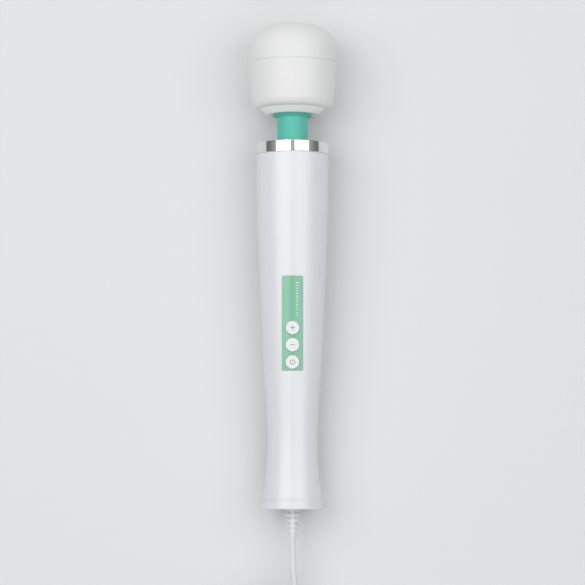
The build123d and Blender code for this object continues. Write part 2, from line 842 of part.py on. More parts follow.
connector_depth = board_front - board_thick - skin_gap - 2
with BuildPart() as supply_leads:
    for side in (-1, 1):
        lead(
            (side * 1.0, 0, tail_top),
            (side * 1.0, 0, tail_top + 12),
            (side * 2.2, -connector_depth, board_low - 14),
            (side * 2.2, -connector_depth, board_low + 4.5),
        )
save(supply_leads, "supply_leads")

with BuildPart() as motor_leads:
    for side in (-1, 1):
        lead(
            (side * 9.0, 0, endbell_low - 5),
            (side * 9.0, 0, endbell_low - 10),
            (side * 2.2, -connector_depth, endbell_low - 14),
            (side * 2.2, -connector_depth, board_high - 13.9),
        )
save(motor_leads, "motor_leads")

# ---------------------------------------------------------------- cord
# A supple low-voltage lead: out of the relief, down to the table, into a tied coil whose
# first turn is its outermost one on the table, and from the coil's top turn to the adapter.
coil_turn_spacing = cord_diameter + skin_gap
coil_layers = [6, 6, 6, 5]
coil_mean_radius = 23.5
coil_low = tie_thick + skin_gap
coil_width = max(coil_layers) * coil_turn_spacing
coil_height = (len(coil_layers) - 1) * cord_diameter + cord_diameter + 0.2
cord_exit = (lying * Pos(0, 0, -relief_length)).position
cord_straight = (lying * Pos(0, 0, -relief_length - 17)).position
coil_entry = (14.0, -246.0, coil_low + cord_diameter / 2 + 0.1)
coil_centre = (coil_entry[0] - coil_mean_radius - 2.5 * coil_turn_spacing, coil_entry[1])
coil_exit = (
    coil_centre[0] + coil_mean_radius + 2 * coil_turn_spacing,
    coil_centre[1],
    coil_entry[2] + (len(coil_layers) - 1) * cord_diameter,
)
adapter_end = -299.0
adapter_middle = (8.5, adapter_end - adapter_length / 2)
adapter_entry = (adapter_middle[0], adapter_end + adapter_relief_length, adapter_height / 2)

free_route = [
    tuple(cord_exit),
    tuple(cord_straight),
    (1.5, -202.5, 15.6),
    (6.0, -218.0, 9.3),
    (11.5, -231.5, 4.2),
    coil_entry,
]
adapter_route = [
    coil_exit,
    (11.2, -258.0, 14.1),
    (9.6, -270.0, 14.9),
    adapter_entry,
]


def cord_tube(route):
    """The cord along a route of straight runs with an arc at each corner, in the open part."""
    points = [Vector(*point) for point in route]
    runs = [b - a for a, b in zip(points, points[1:])]
    turns = [a.get_angle(b) for a, b in zip(runs, runs[1:])]
    radii = [
        0.45 * min(a.length, b.length) / math.tan(math.radians(turn / 2))
        for a, b, turn in zip(runs, runs[1:], turns)
    ]
    print("cord radii", [round(radius, 1) for radius in radii])
    with BuildPart() as tube_part:
        with BuildLine() as path:
            FilletPolyline(*route, radius=radii)
        with BuildSketch(Plane(origin=path.line @ 0, z_dir=path.line % 0)):
            Circle(cord_diameter / 2)
        sweep(path=path.line)
    length = path.wire().length
    section = math.pi * (cord_diameter / 2) ** 2
    print("cord stretch", round(length, 1), "by volume", round(tube_part.part.volume / section, 1))
    add(tube_part.part)
    return length


with BuildPart() as cord_free:
    free_length = cord_tube(free_route)
save(cord_free, "cord_free", on_table)

with BuildPart() as cord_to_adapter:
    last_length = cord_tube(adapter_route)
save(cord_to_adapter, "cord_to_adapter", on_table)

wound_length = sum(coil_layers) * 2 * math.pi * coil_mean_radius
print("cord length", round(free_length + wound_length + last_length, 1), "of", cord_length)

with BuildPart() as cord_coil:
    with BuildSketch(Plane.XY.offset(coil_low)):
        with Locations(coil_centre):
            Circle(coil_mean_radius + coil_width / 2)
            Circle(coil_mean_radius - coil_width / 2, mode=Mode.SUBTRACT)
    extrude(amount=coil_height)
    fillet(cord_coil.edges(), 1.9)
save(cord_coil, "cord_coil", on_table)

with BuildPart() as cord_tie:
    across = Plane(
        origin=(coil_centre[0] + coil_mean_radius - tie_shift, coil_centre[1] + tie_width / 2, 0),
        x_dir=(1, 0, 0),
        z_dir=(0, -1, 0),
    )
    with BuildSketch(across):
        with Locations((0, coil_low + coil_height / 2)):
            RectangleRounded(coil_width + 2 * coil_low + 1, coil_height + 2 * coil_low, 1.5)
            RectangleRounded(
                coil_width + 2 * skin_gap + 1, coil_height + 2 * skin_gap, 1.0, mode=Mode.SUBTRACT
            )
    extrude(amount=tie_width)
save(cord_tie, "cord_tie", on_table)

# ---------------------------------------------------------------- adapter
# It lies on its back on the table with its pins up and its lead towards the coil.
adapter_parting = adapter_height / 2


def adapter_block(inset, low, high, mode=Mode.ADD):
    """A block with the adapter's rounded outline moved in by inset, in the open part."""
    with BuildPart() as block:
        with BuildSketch(Plane.XY.offset(low)):
            with Locations(adapter_middle):
                RectangleRounded(
                    adapter_width - 2 * inset, adapter_length - 2 * inset, adapter_corner - inset
                )
        extrude(amount=high - low)
    add(block.part, mode=mode)


def lead_hole(radius, mode=Mode.SUBTRACT):
    """The round hole for the adapter's strain relief, in the open part."""
    with BuildPart() as hole:
        with BuildSketch(Plane.XZ.offset(-adapter_end + adapter_wall / 2)):
            with Locations((adapter_middle[0], adapter_parting)):
                Circle(radius)
        extrude(amount=adapter_wall, both=True)
    add(hole.part, mode=mode)


with BuildPart() as adapter_rear_half:
    adapter_block(0, 0, adapter_parting)
    fillet(adapter_rear_half.edges().group_by(Axis.Z)[0], 1.8)
    adapter_block(adapter_wall, adapter_wall, adapter_parting, mode=Mode.SUBTRACT)
    lead_hole(relief_radius + skin_gap)
save(adapter_rear_half, "adapter_rear_half", on_table)

pins_at = [
    (adapter_middle[0] + side * adapter_pin_spacing / 2, adapter_middle[1] - 12) for side in (-1, 1)
]

with BuildPart() as adapter_front_half:
    adapter_block(0, adapter_parting, adapter_height)
    fillet(adapter_front_half.edges().group_by(Axis.Z)[-1], 1.8)
    adapter_block(
        adapter_wall, adapter_parting, adapter_height - adapter_wall, mode=Mode.SUBTRACT
    )
    lead_hole(relief_radius + skin_gap)
    with BuildSketch(Plane.XY.offset(adapter_height - adapter_wall)):
        with Locations(*pins_at):
            Circle(adapter_pin_shoulder)
    extrude(amount=adapter_wall, mode=Mode.SUBTRACT)
save(adapter_front_half, "adapter_front_half", on_table)

with BuildPart() as adapter_pins:
    with BuildSketch(Plane.XY.offset(adapter_height - adapter_wall - 3)):
        with Locations(*pins_at):
            Circle(adapter_pin_shoulder + 1)
    extrude(amount=3)
    with BuildSketch(Plane.XY.offset(adapter_height - adapter_wall)):
        with Locations(*pins_at):
            Circle(adapter_pin_shoulder)
    extrude(amount=adapter_wall)
    with BuildSketch(Plane.XY.offset(adapter_height)):
        with Locations(*pins_at):
            Circle(adapter_pin_radius)
    extrude(amount=adapter_pin_length)
    fillet(adapter_pins.edges().group_by(Axis.Z)[-1], 1.2)
save(adapter_pins, "adapter_pins", on_table)

with BuildPart() as adapter_relief:
    with BuildSketch(Plane.YZ.offset(adapter_middle[0])):
        with BuildLine():
            Polyline(
                (adapter_end + adapter_relief_length, adapter_parting),
                (adapter_end + adapter_relief_length, adapter_parting + relief_tip_radius),
                (adapter_end + 1.5, adapter_parting + relief_radius),
                (adapter_end - adapter_wall - skin_gap, adapter_parting + relief_radius),
                (adapter_end - adapter_wall - skin_gap, adapter_parting + relief_radius + relief_flange),
                (adapter_end - adapter_wall - 2, adapter_parting + relief_radius + relief_flange),
                (adapter_end - adapter_wall - 2, adapter_parting),
                close=True,
            )
        make_face()
    revolve(axis=Axis((adapter_middle[0], 0, adapter_parting), (0, 1, 0)))
save(adapter_relief, "adapter_relief", on_table)

with BuildPart() as adapter_board:
    board_plane = Plane.XY.offset(adapter_wall + 4)
    with BuildSketch(board_plane):
        with Locations((adapter_middle[0], adapter_middle[1] - 3)):
            Rectangle(adapter_width - 2 * adapter_wall - 2, adapter_length - 2 * adapter_wall - 10)
    extrude(amount=1.6)
    with BuildSketch(board_plane.offset(1.6)):
        with Locations((adapter_middle[0] + 3, adapter_middle[1] + 6)):
            Rectangle(20, 18)
    extrude(amount=14)
    with BuildSketch(board_plane.offset(1.6)):
        with Locations((adapter_middle[0] - 12, adapter_middle[1] + 8)):
            Circle(4)
        with Locations((adapter_middle[0] - 12, adapter_middle[1] + 20)):
            Circle(3)
    extrude(amount=12)
save(adapter_board, "adapter_board", on_table)
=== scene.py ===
"""A corded wand massager lying on its back: its looks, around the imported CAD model."""

import json
import math

import bmesh
import bpy
from mathutils import Matrix, Vector
from mathutils.bvhtree import BVHTree


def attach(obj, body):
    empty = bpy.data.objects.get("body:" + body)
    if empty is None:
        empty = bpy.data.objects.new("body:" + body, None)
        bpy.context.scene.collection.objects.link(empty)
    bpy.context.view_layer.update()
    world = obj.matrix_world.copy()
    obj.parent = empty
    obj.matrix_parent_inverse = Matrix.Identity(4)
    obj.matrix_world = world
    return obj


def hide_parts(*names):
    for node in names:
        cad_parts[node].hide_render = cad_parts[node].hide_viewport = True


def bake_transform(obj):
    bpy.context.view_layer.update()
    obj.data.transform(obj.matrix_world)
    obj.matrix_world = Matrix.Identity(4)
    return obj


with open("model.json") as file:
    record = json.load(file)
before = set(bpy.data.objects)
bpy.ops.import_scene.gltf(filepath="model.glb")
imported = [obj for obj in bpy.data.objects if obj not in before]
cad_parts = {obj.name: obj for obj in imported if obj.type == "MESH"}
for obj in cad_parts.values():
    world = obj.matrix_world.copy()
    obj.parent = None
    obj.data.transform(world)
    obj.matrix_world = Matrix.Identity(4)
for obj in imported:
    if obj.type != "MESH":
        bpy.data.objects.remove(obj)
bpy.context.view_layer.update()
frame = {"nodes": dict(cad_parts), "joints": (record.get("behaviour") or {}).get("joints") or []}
MM = 0.001

# ---------------------------------------------------------------- the wand's own axes
# Heights along the wand, from the end face of its handle, in millimetres.
COLLAR_LOW, COLLAR_TOP = 232.4, 240.0
NECK_LOWER_JOINT, NECK_UPPER_JOINT = 244.8, 254.4
HEAD_BOTTOM, SILICONE_BOTTOM, SEAM, WIDEST, CROWN = 259.2, 263.0, 293.2, 300.0, 320.0
HEAD_RADIUS, HEAD_LOW_RADIUS, HEAD_CORNER = 29.5, 27.2, 6.0
DOME_HEIGHT, DOME_POWER = 20.0, 2.5
NECK_RADIUS, NECK_WALL, LIP_RADIUS, LIP = 10.15, 1.65, 12.6, 1.3
COLLAR_RADIUS = 24.0

joints = {joint["name"]: joint for joint in frame["joints"]}
ALONG = Vector(joints["motor_spin"]["axis"]).normalized()
ACROSS = Vector((1, 0, 0))
OUT = ACROSS.cross(ALONG).normalized()  # out of the control panel
END_FACE = Vector(joints["neck_bend_side"]["pos_m"]) - ALONG * NECK_LOWER_JOINT * MM


def on_axis(height):
    """The point of the wand's axis at a height, in metres."""
    return END_FACE + ALONG * height * MM


def place(x, out, height):
    """A point given across, out of the panel and along the wand, in metres."""
    return END_FACE + (ACROSS * x + OUT * out + ALONG * height) * MM


# ---------------------------------------------------------------- material helpers
class Nodes:
    """A material's node tree, with short calls for the nodes that it is made of."""

    def __init__(self, name, **settings):
        self.material = bpy.data.materials.new(name)
        self.material.use_nodes = True
        self.tree = self.material.node_tree
        self.shader = self.tree.nodes["Principled BSDF"]
        self.set(**settings)
        self.where = self.add("ShaderNodeTexCoord").outputs["Object"]

    def set(self, **settings):
        for key, value in settings.items():
            self.shader.inputs[key.replace("_", " ").title().replace("Ior", "IOR")].default_value = value

    def add(self, kind, **settings):
        node = self.tree.nodes.new(kind)
        for key, value in settings.items():
            setattr(node, key, value)
        return node

    def link(self, start, end):
        self.tree.links.new(start, end)

    def noise(self, scale, detail=3.0, roughness=0.5, stretch=None):
        """Noise over the object's own space, in cycles per metre."""
        node = self.add("ShaderNodeTexNoise")
        node.inputs["Scale"].default_value = scale
        node.inputs["Detail"].default_value = detail
        node.inputs["Roughness"].default_value = roughness
        if stretch:
            mapping = self.add("ShaderNodeMapping")
            mapping.inputs["Scale"].default_value = stretch
            self.link(self.where, mapping.inputs["Vector"])
            self.link(mapping.outputs["Vector"], node.inputs["Vector"])
        else:
            self.link(self.where, node.inputs["Vector"])
        return node.outputs["Fac"]

    def spread(self, source, low, high, start=0.3, end=0.7):
        """A value of source mapped from start..end to low..high."""
        node = self.add("ShaderNodeMapRange")
        node.inputs["From Min"].default_value = start
        node.inputs["From Max"].default_value = end
        node.inputs["To Min"].default_value = low
        node.inputs["To Max"].default_value = high
        self.link(source, node.inputs["Value"])
        return node.outputs["Result"]

    def colours(self, source, first, second):
        """The base colour, varied between two colours by source."""
        node = self.add("ShaderNodeMix", data_type="RGBA")
        node.inputs["A"].default_value = (*first, 1)
        node.inputs["B"].default_value = (*second, 1)
        self.link(source, node.inputs["Factor"])
        self.link(node.outputs["Result"], self.shader.inputs["Base Color"])

    def bump(self, source, distance, strength=0.5):
        """Bump from source; several calls stack."""
        node = self.add("ShaderNodeBump")
        node.inputs["Distance"].default_value = distance
        node.inputs["Strength"].default_value = strength
        self.link(source, node.inputs["Height"])
        earlier = self.shader.inputs["Normal"].links
        if earlier:
            self.link(earlier[0].from_socket, node.inputs["Normal"])
        self.link(node.outputs["Normal"], self.shader.inputs["Normal"])

    def rough(self, source):
        self.link(source, self.shader.inputs["Roughness"])


def shade(colour, factor):
    """A colour made lighter or darker."""
    return tuple(min(1.0, channel * factor) for channel in colour)


def moulded(name, colour, rough_low, rough_high, grain=2600, depth=0.00001, **settings):
    """Moulded plastic: a faint flow in its colour, uneven gloss and a fine grain."""
    nodes = Nodes(name, **settings)
    nodes.colours(nodes.noise(28, 2.0), shade(colour, 0.975), shade(colour, 1.02))
    nodes.rough(nodes.spread(nodes.noise(420, 5.0), rough_low, rough_high))
    nodes.bump(nodes.noise(grain, 2.0), depth, 0.35)
    return nodes.material


def silicone(name, colour, rough_low, rough_high, **settings):
    """Soft silicone: a velvet bloom, light scattered under the skin, and fine dust marks."""
    nodes = Nodes(name, **settings)
    nodes.colours(nodes.noise(36, 3.0), shade(colour, 0.97), shade(colour, 1.02))
    nodes.rough(nodes.spread(nodes.noise(260, 6.0), rough_low, rough_high))
    nodes.bump(nodes.noise(5200, 2.0), 0.000012, 0.5)
    nodes.bump(nodes.noise(90, 2.0), 0.00006, 0.25)
    return nodes.material


def metal(name, colour, rough_low, rough_high, brushed=None, **settings):
    """Bare or plated metal with fine wear in its gloss, brushed along one way if asked."""
    nodes = Nodes(name, metallic=1.0, **settings)
    nodes.colours(nodes.noise(60, 3.0), shade(colour, 0.94), shade(colour, 1.03))
    nodes.rough(nodes.spread(nodes.noise(700, 6.0, 0.6, brushed), rough_low, rough_high))
    nodes.bump(nodes.noise(2400, 3.0, 0.6, brushed), 0.000004, 0.4)
    return nodes.material


HEAD_WHITE = silicone(
    "head_silicone", (0.80, 0.80, 0.79), 0.42, 0.56,
    subsurface_weight=0.12, subsurface_scale=0.004, sheen_weight=0.15, sheen_roughness=0.5,
)
NECK_TURQUOISE = silicone(
    "neck_silicone", (0.108, 0.60, 0.475), 0.40, 0.55,
    subsurface_weight=0.06, subsurface_scale=0.002, sheen_weight=0.10, sheen_roughness=0.5,
)
HANDLE_WHITE = moulded(
    "handle_abs", (0.775, 0.785, 0.815), 0.285, 0.305, grain=3400, depth=0.000002,
    coat_weight=0.18, coat_roughness=0.2,
)
RING_WHITE = moulded("ring_abs", (0.84, 0.84, 0.83), 0.14, 0.22, depth=0.000005, coat_weight=0.3)
PANEL_TURQUOISE = moulded(
    "panel_film", (0.205, 0.515, 0.345), 0.28, 0.30, grain=3400, depth=0.000002,
    coat_weight=0.35, coat_roughness=0.12,
)
KEY_WHITE = moulded("key_abs", (0.82, 0.85, 0.84), 0.26, 0.36)
SIGN_GREY = moulded("sign_ink", (0.30, 0.36, 0.36), 0.4, 0.5)
MARK_PALE = moulded("mark_ink", (0.66, 0.86, 0.75), 0.35, 0.45)
CHROME = metal("chrome_plate", (0.80, 0.81, 0.81), 0.015, 0.035)
PIN_METAL = metal("nickel_plate", (0.64, 0.63, 0.60), 0.14, 0.26, brushed=(1, 1, 0.05))
STEEL = metal("turned_steel", (0.52, 0.52, 0.53), 0.22, 0.38)
COPPER = metal("copper_wire", (0.72, 0.34, 0.16), 0.2, 0.36)
MAGNET = metal("sintered_iron", (0.16, 0.16, 0.17), 0.45, 0.62)
CORD_PVC = moulded("cord_pvc", (0.76, 0.76, 0.77), 0.34, 0.46, grain=1800, depth=0.00002)
RELIEF_PVC = moulded("relief_pvc", (0.78, 0.78, 0.79), 0.36, 0.48, grain=1800, depth=0.00002)
ADAPTER_ABS = moulded("adapter_abs", (0.74, 0.74, 0.75), 0.42, 0.56, grain=1500, depth=0.00005)
CORE_PLASTIC = moulded("core_nylon", (0.50, 0.50, 0.49), 0.4, 0.55, grain=1500, depth=0.00003)
DARK_PLASTIC = moulded("dark_nylon", (0.04, 0.04, 0.045), 0.4, 0.55, grain=1500, depth=0.00003)
MOUNT_RUBBER = moulded("mount_rubber", (0.03, 0.03, 0.03), 0.6, 0.75, grain=1200, depth=0.00004)
BOARD_GREEN = moulded("board_mask", (0.02, 0.19, 0.07), 0.25, 0.4)
LEAD_RED = moulded("lead_pvc", (0.42, 0.02, 0.02), 0.35, 0.5)


def webbing(name, colour):
    """Woven hook-and-loop strap: small cross ribs and a fuzzy nap."""
    nodes = Nodes(name, sheen_weight=0.4, sheen_roughness=0.6)
    nodes.colours(nodes.noise(500, 4.0), shade(colour, 0.7), shade(colour, 1.4))
    wave = nodes.add("ShaderNodeTexWave", wave_type="BANDS", bands_direction="Y")
    wave.inputs["Scale"].default_value = 260
    wave.inputs["Distortion"].default_value = 1.5
    nodes.link(nodes.where, wave.inputs["Vector"])
    nodes.bump(wave.outputs["Fac"], 0.00012, 0.6)
    nodes.bump(nodes.noise(1600, 4.0), 0.0001, 0.5)
    nodes.rough(nodes.spread(nodes.noise(700, 3.0), 0.75, 0.92))
    return nodes.material


TIE_BLACK = webbing("tie_webbing", (0.035, 0.035, 0.04))


# ---------------------------------------------------------------- mesh helpers
def finish_piece(piece, material, body=None, stands_for=(), sharp=32):
    """Smooth shading with sharp edges kept, a material, a body and what the piece replaces."""
    mesh = piece.data
    mesh.materials.clear()
    mesh.materials.append(material)
    mesh.shade_smooth()
    mesh.set_sharp_from_angle(angle=math.radians(sharp))
    if body:
        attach(piece, body)
    if stands_for:
        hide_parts(*stands_for)
    return piece


def new_piece(name, build):
    """A mesh object made by build(bm)."""
    mesh = bpy.data.meshes.new(name)
    bm = bmesh.new()
    build(bm)
    bmesh.ops.recalc_face_normals(bm, faces=bm.faces)
    bm.to_mesh(mesh)
    bm.free()
    piece = bpy.data.objects.new(name, mesh)
    bpy.context.scene.collection.objects.link(piece)
    return piece


def lathe(name, profile, around=128):
    """A closed ring turned about the wand's axis from (radius, height) points in order.
    A point on the axis closes there."""

    def build(bm):
        rings = []
        for radius, height in profile:
            if radius < 1e-6:
                rings.append([bm.verts.new(on_axis(height))])
                continue
            ring = []
            for step in range(around):
                angle = 2 * math.pi * step / around
                ring.append(bm.verts.new(place(radius * math.cos(angle), radius * math.sin(angle), height)))
            rings.append(ring)
        pairs = list(zip(rings, rings[1:]))
        if len(rings[0]) > 1:
            pairs.append((rings[-1], rings[0]))
        for low, high in pairs:
            for step in range(around):
                after = (step + 1) % around
                corners = [
                    low[step % len(low)], low[after % len(low)],
                    high[after % len(high)], high[step % len(high)],
                ]
                corners = list(dict.fromkeys(corners))
                if len(corners) > 2:
                    bm.faces.new(corners)

    return new_piece(name, build)


def arc(centre, radius, start, end, steps):
    """Points on a circle from start to end degrees, in the profile's plane."""
    return [
        (
            centre[0] + radius * math.cos(math.radians(start + (end - start) * i / steps)),
            centre[1] + radius * math.sin(math.radians(start + (end - start) * i / steps)),
        )
        for i in range(steps + 1)
    ]


# ---------------------------------------------------------------- camera
# Square onto the panel's side, from over the handle's lower end, at arm's length and a half.
CAMERA_HEIGHT_ON_WAND, CAMERA_AWAY = 29.0, 1.6
CORD_SHOWN = 32.0  # of cord below the strain relief
TOP_SHOWN, BOTTOM_SHOWN = CROWN + 14.0, -18.5 - CORD_SHOWN
camera_data = bpy.data.cameras.new("camera")
camera = bpy.data.objects.new("camera", camera_data)
bpy.context.scene.collection.objects.link(camera)
bpy.context.scene.camera = camera
seen_middle = on_axis((TOP_SHOWN + BOTTOM_SHOWN) / 2)
camera.location = on_axis(CAMERA_HEIGHT_ON_WAND) + OUT * CAMERA_AWAY
looking = (seen_middle - camera.location).normalized()
right = ACROSS
upward = right.cross(looking).normalized()
camera.rotation_mode = "QUATERNION"
camera.rotation_quaternion = Matrix((right, upward, -looking)).transposed().to_quaternion()
camera_data.sensor_width = 36.0
seen_size = (TOP_SHOWN - BOTTOM_SHOWN) * MM
camera_data.lens = 36.0 * (seen_middle - camera.location).length / seen_size
camera_data.clip_start, camera_data.clip_end = 0.05, 20.0

# ---------------------------------------------------------------- cord
CORD_DIAMETER = 0.004
COIL_CENTRE = Vector((-0.01975, -0.246, 0.0))
COIL_MEAN_RADIUS = 0.0235
TURN_SPACING = 0.0041
LAYER_TURNS = [6, 6, 6, 5]
POINTS_PER_TURN = 18
STEP_SHARE = 0.2  # of each turn, where the cord steps over to the next one

FREE_ROUTE = [
    (0.0, -0.16916, 0.01938),
    (0.0, -0.18615, 0.01882),
    (0.0015, -0.2025, 0.0156),
    (0.0060, -0.2180, 0.0093),
    (0.0115, -0.2315, 0.0042),
    (0.0140, -0.2460, 0.0027),
]
ADAPTER_ROUTE = [
    (0.01195, -0.2460, 0.0147),
    (0.0112, -0.2580, 0.0141),
    (0.0096, -0.2700, 0.0149),
    (0.0085, -0.2810, 0.0160),
]


def eased(share):
    """A share from 0 to 1, slow at both ends."""
    return share * share * (3 - 2 * share)


def coil_points():
    """The coil's turns, from the outermost on the table to the outermost on top. Each turn
    keeps its radius, then steps to the next; the last turn of a layer climbs instead."""
    low = FREE_ROUTE[-1][2]
    half = (max(LAYER_TURNS) - 1) / 2
    places = []  # (radius, height) of each turn, in order
    for layer, turns in enumerate(LAYER_TURNS):
        inward = layer % 2 == 0
        for turn in range(turns):
            column = half - turn if inward else turn - half
            places.append((COIL_MEAN_RADIUS + column * TURN_SPACING, low + layer * CORD_DIAMETER))
    places.append((ADAPTER_ROUTE[0][0] - COIL_CENTRE.x, ADAPTER_ROUTE[0][2]))
    outward = 1 / math.cos(math.pi / POINTS_PER_TURN)  # the spline runs inside its points
    points = []
    for turn, ((radius, height), (next_radius, next_height)) in enumerate(zip(places, places[1:])):
        for step in range(1, POINTS_PER_TURN):
            share = step / POINTS_PER_TURN
            over = eased(max(0.0, (share - 1 + STEP_SHARE) / STEP_SHARE))
            here = (radius + (next_radius - radius) * over) * outward
            angle = 2 * math.pi * share
            points.append(
                (
                    COIL_CENTRE.x + here * math.cos(angle),
                    COIL_CENTRE.y - here * math.sin(angle),
                    height + (next_height - height) * over,
                )
            )
        if turn < len(places) - 2:
            points.append((COIL_CENTRE.x + next_radius * outward, COIL_CENTRE.y, next_height))
    return points


cord_curve = bpy.data.curves.new("cord", "CURVE")
cord_curve.dimensions = "3D"
cord_curve.resolution_u = 6
cord_curve.bevel_depth = CORD_DIAMETER / 2
cord_curve.bevel_resolution = 5
cord_curve.use_fill_caps = True
cord_points = FREE_ROUTE + coil_points() + ADAPTER_ROUTE
cord_spline = cord_curve.splines.new("NURBS")
cord_spline.points.add(len(cord_points) - 1)
for point, where in zip(cord_spline.points, cord_points):
    point.co = (*where, 1.0)
cord_spline.use_endpoint_u = True
cord_spline.order_u = 3
cord = bpy.data.objects.new("cord", cord_curve)
bpy.context.scene.collection.objects.link(cord)
cord_curve.materials.append(CORD_PVC)
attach(cord, "handle")
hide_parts("cord_free", "cord_coil", "cord_to_adapter")

# ---------------------------------------------------------------- head
SILICONE_WALL = 3.0
SEAM_GROOVE = 0.12
SEAM_ROUND = 0.12
SEAM_DEPTH = 0.3  # where the two skins close on each other


def head_profile(offset=0.0):
    """The head's outline from its underside's edge to its crown, moved in by offset."""
    wide, tall = HEAD_RADIUS - offset, DOME_HEIGHT - offset
    low, low_radius = SILICONE_BOTTOM + offset, HEAD_LOW_RADIUS - offset
    corner = max(HEAD_CORNER - offset, 0.5)
    lean = math.degrees(math.atan2(wide - low_radius, (WIDEST - low - corner) / 1.5))
    points = arc((low_radius - corner, low + corner), corner, -90, -lean * 0.4, 14)
    start = points[-1]
    for i in range(1, 24):
        share = i / 24
        bulge = math.sin(share * math.pi / 2)
        points.append((start[0] + (wide - start[0]) * bulge, start[1] + (WIDEST - start[1]) * share))
    for i in range(0, 40):
        share = math.sin(i / 40 * math.pi / 2)
        points.append((wide * (1 - share**DOME_POWER) ** (1 / DOME_POWER), WIDEST + tall * share))
    points.append((0.0, WIDEST + tall))
    return points


outside = head_profile()
inside = head_profile(SILICONE_WALL)
seam_low = SEAM - SEAM_GROOVE / 2
seam_high = SEAM + SEAM_GROOVE / 2


def radius_of(profile, height):
    """A profile's radius at a height above its lower corner."""
    for (r0, h0), (r1, h1) in zip(profile, profile[1:]):
        if h0 <= height <= h1 and h1 > h0:
            return r0 + (r1 - r0) * (height - h0) / (h1 - h0)
    return 0.0


def soft_edge(radius, height, up):
    """A small rounded edge where the silicone turns in at the seam."""
    centre = (radius - SEAM_ROUND, height - SEAM_ROUND * up)
    return arc(centre, SEAM_ROUND, 0, 90 * up, 4) if up > 0 else arc(centre, SEAM_ROUND, -90, 0, 4)


SEAM_CLEAR = 0.6  # the profile's own points stop this far from the seam
cap_outer = [p for p in outside if p[1] > seam_high + SEAM_CLEAR]
cap_inner = [p for p in inside if p[1] > seam_high + SEAM_CLEAR]
cap_profile = (
    [(radius_of(inside, SEAM), SEAM + 0.01)]
    + [(radius_of(outside, SEAM) - SEAM_DEPTH, SEAM + 0.01)]
    + soft_edge(radius_of(outside, SEAM), seam_high, -1)
    + cap_outer
)
head_cap = lathe("head_cap_skin", [(0.0, inside[-1][1])] + cap_inner[::-1][1:] + cap_profile)
finish_piece(head_cap, HEAD_WHITE, "head", ["head_cap"], sharp=50)

SLIP, CORE_WALL = 0.15, 2.5  # the core's neck tube stands between the neck and the skins
bore = NECK_RADIUS + SLIP + CORE_WALL + SLIP
sleeve_outer = [p for p in outside if p[1] < seam_low - SEAM_CLEAR]
sleeve_inner = [p for p in inside if p[1] < seam_low - SEAM_CLEAR]
sleeve_profile = (
    [(bore, SILICONE_BOTTOM)]
    + sleeve_outer
    + soft_edge(radius_of(outside, SEAM) - 0.02, seam_low, 1)
    + [(radius_of(outside, SEAM) - SEAM_DEPTH, SEAM - 0.01), (radius_of(inside, SEAM), SEAM - 0.01)]
    + sleeve_inner[::-1]
    + [(bore, SILICONE_BOTTOM + SILICONE_WALL)]
)
head_sleeve = lathe("head_sleeve_skin", sleeve_profile)
finish_piece(head_sleeve, HEAD_WHITE, "head", ["head_sleeve"], sharp=50)

RING_LOW, RING_TOP, RING_ROUND = 17.5, 21.8, 0.7
RING_CHAMFER, RING_INSET = 0.25, 0.1
ring_profile = (
    [(bore, HEAD_BOTTOM)]
    + arc((RING_LOW - RING_ROUND, HEAD_BOTTOM + RING_ROUND), RING_ROUND, -90, -41, 6)
    + [(RING_TOP - RING_CHAMFER, SILICONE_BOTTOM - RING_CHAMFER), (RING_TOP - RING_INSET, SILICONE_BOTTOM)]
    + [(bore, SILICONE_BOTTOM)]
)
head_ring = lathe("head_base_ring_skin", ring_profile)
finish_piece(head_ring, RING_WHITE, "head", ["head_base_ring"], sharp=40)

# ---------------------------------------------------------------- neck
NECK_SPLIT = (NECK_LOWER_JOINT + NECK_UPPER_JOINT) / 2
NECK_LOW_END, NECK_HIGH_END = 227.0, 265.8


def stations(low, high, spacing=0.6):
    """Evenly spaced heights from low to high, close enough for a surface that bends."""
    steps = max(1, round((high - low) / spacing))
    return [low + (high - low) * i / steps for i in range(steps + 1)]


neck_low_profile = [(NECK_RADIUS, h) for h in stations(NECK_LOW_END, NECK_SPLIT)]
neck_low_profile += [(NECK_RADIUS - NECK_WALL, h) for h in stations(NECK_LOW_END, NECK_SPLIT)[::-1]]
neck_low = lathe("neck_sleeve_lower", neck_low_profile, 96)
finish_piece(neck_low, NECK_TURQUOISE, None, ["neck_sleeve"])

LIP_GAP, LIP_FILLET, LIP_ROUND, LIP_INSET = 0.1, 0.5, 0.4, 0.3
ABOVE_LIP = 0.4  # where the hidden stretch inside the head starts
lip_low, lip_high = HEAD_BOTTOM - LIP - LIP_GAP, HEAD_BOTTOM - LIP_GAP
neck_high_profile = [(NECK_RADIUS, h) for h in stations(NECK_SPLIT, lip_low - LIP_FILLET)]
neck_high_profile += arc((NECK_RADIUS + LIP_FILLET, lip_low - LIP_FILLET), LIP_FILLET, 180, 90, 4)
neck_high_profile += arc((LIP_RADIUS - LIP_ROUND, lip_low + LIP_ROUND), LIP_ROUND, -90, 90, 6)[:-1]
neck_high_profile += [(LIP_RADIUS - LIP_INSET, lip_high), (NECK_RADIUS, lip_high)]
neck_high_profile += [(NECK_RADIUS, h) for h in stations(lip_high + ABOVE_LIP, NECK_HIGH_END)]
neck_high_profile += [(NECK_RADIUS - NECK_WALL, h) for h in stations(NECK_SPLIT, NECK_HIGH_END)[::-1]]
neck_high = lathe("neck_sleeve_upper", neck_high_profile, 96)
finish_piece(neck_high, NECK_TURQUOISE, None, ["neck_sleeve"])

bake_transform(neck_low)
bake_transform(neck_high)

# ---------------------------------------------------------------- wires in the neck, split at its middle
WIRE_STEPS, WIRE_SIDES = 28, 10  # steps in each turn, and sides of the wire


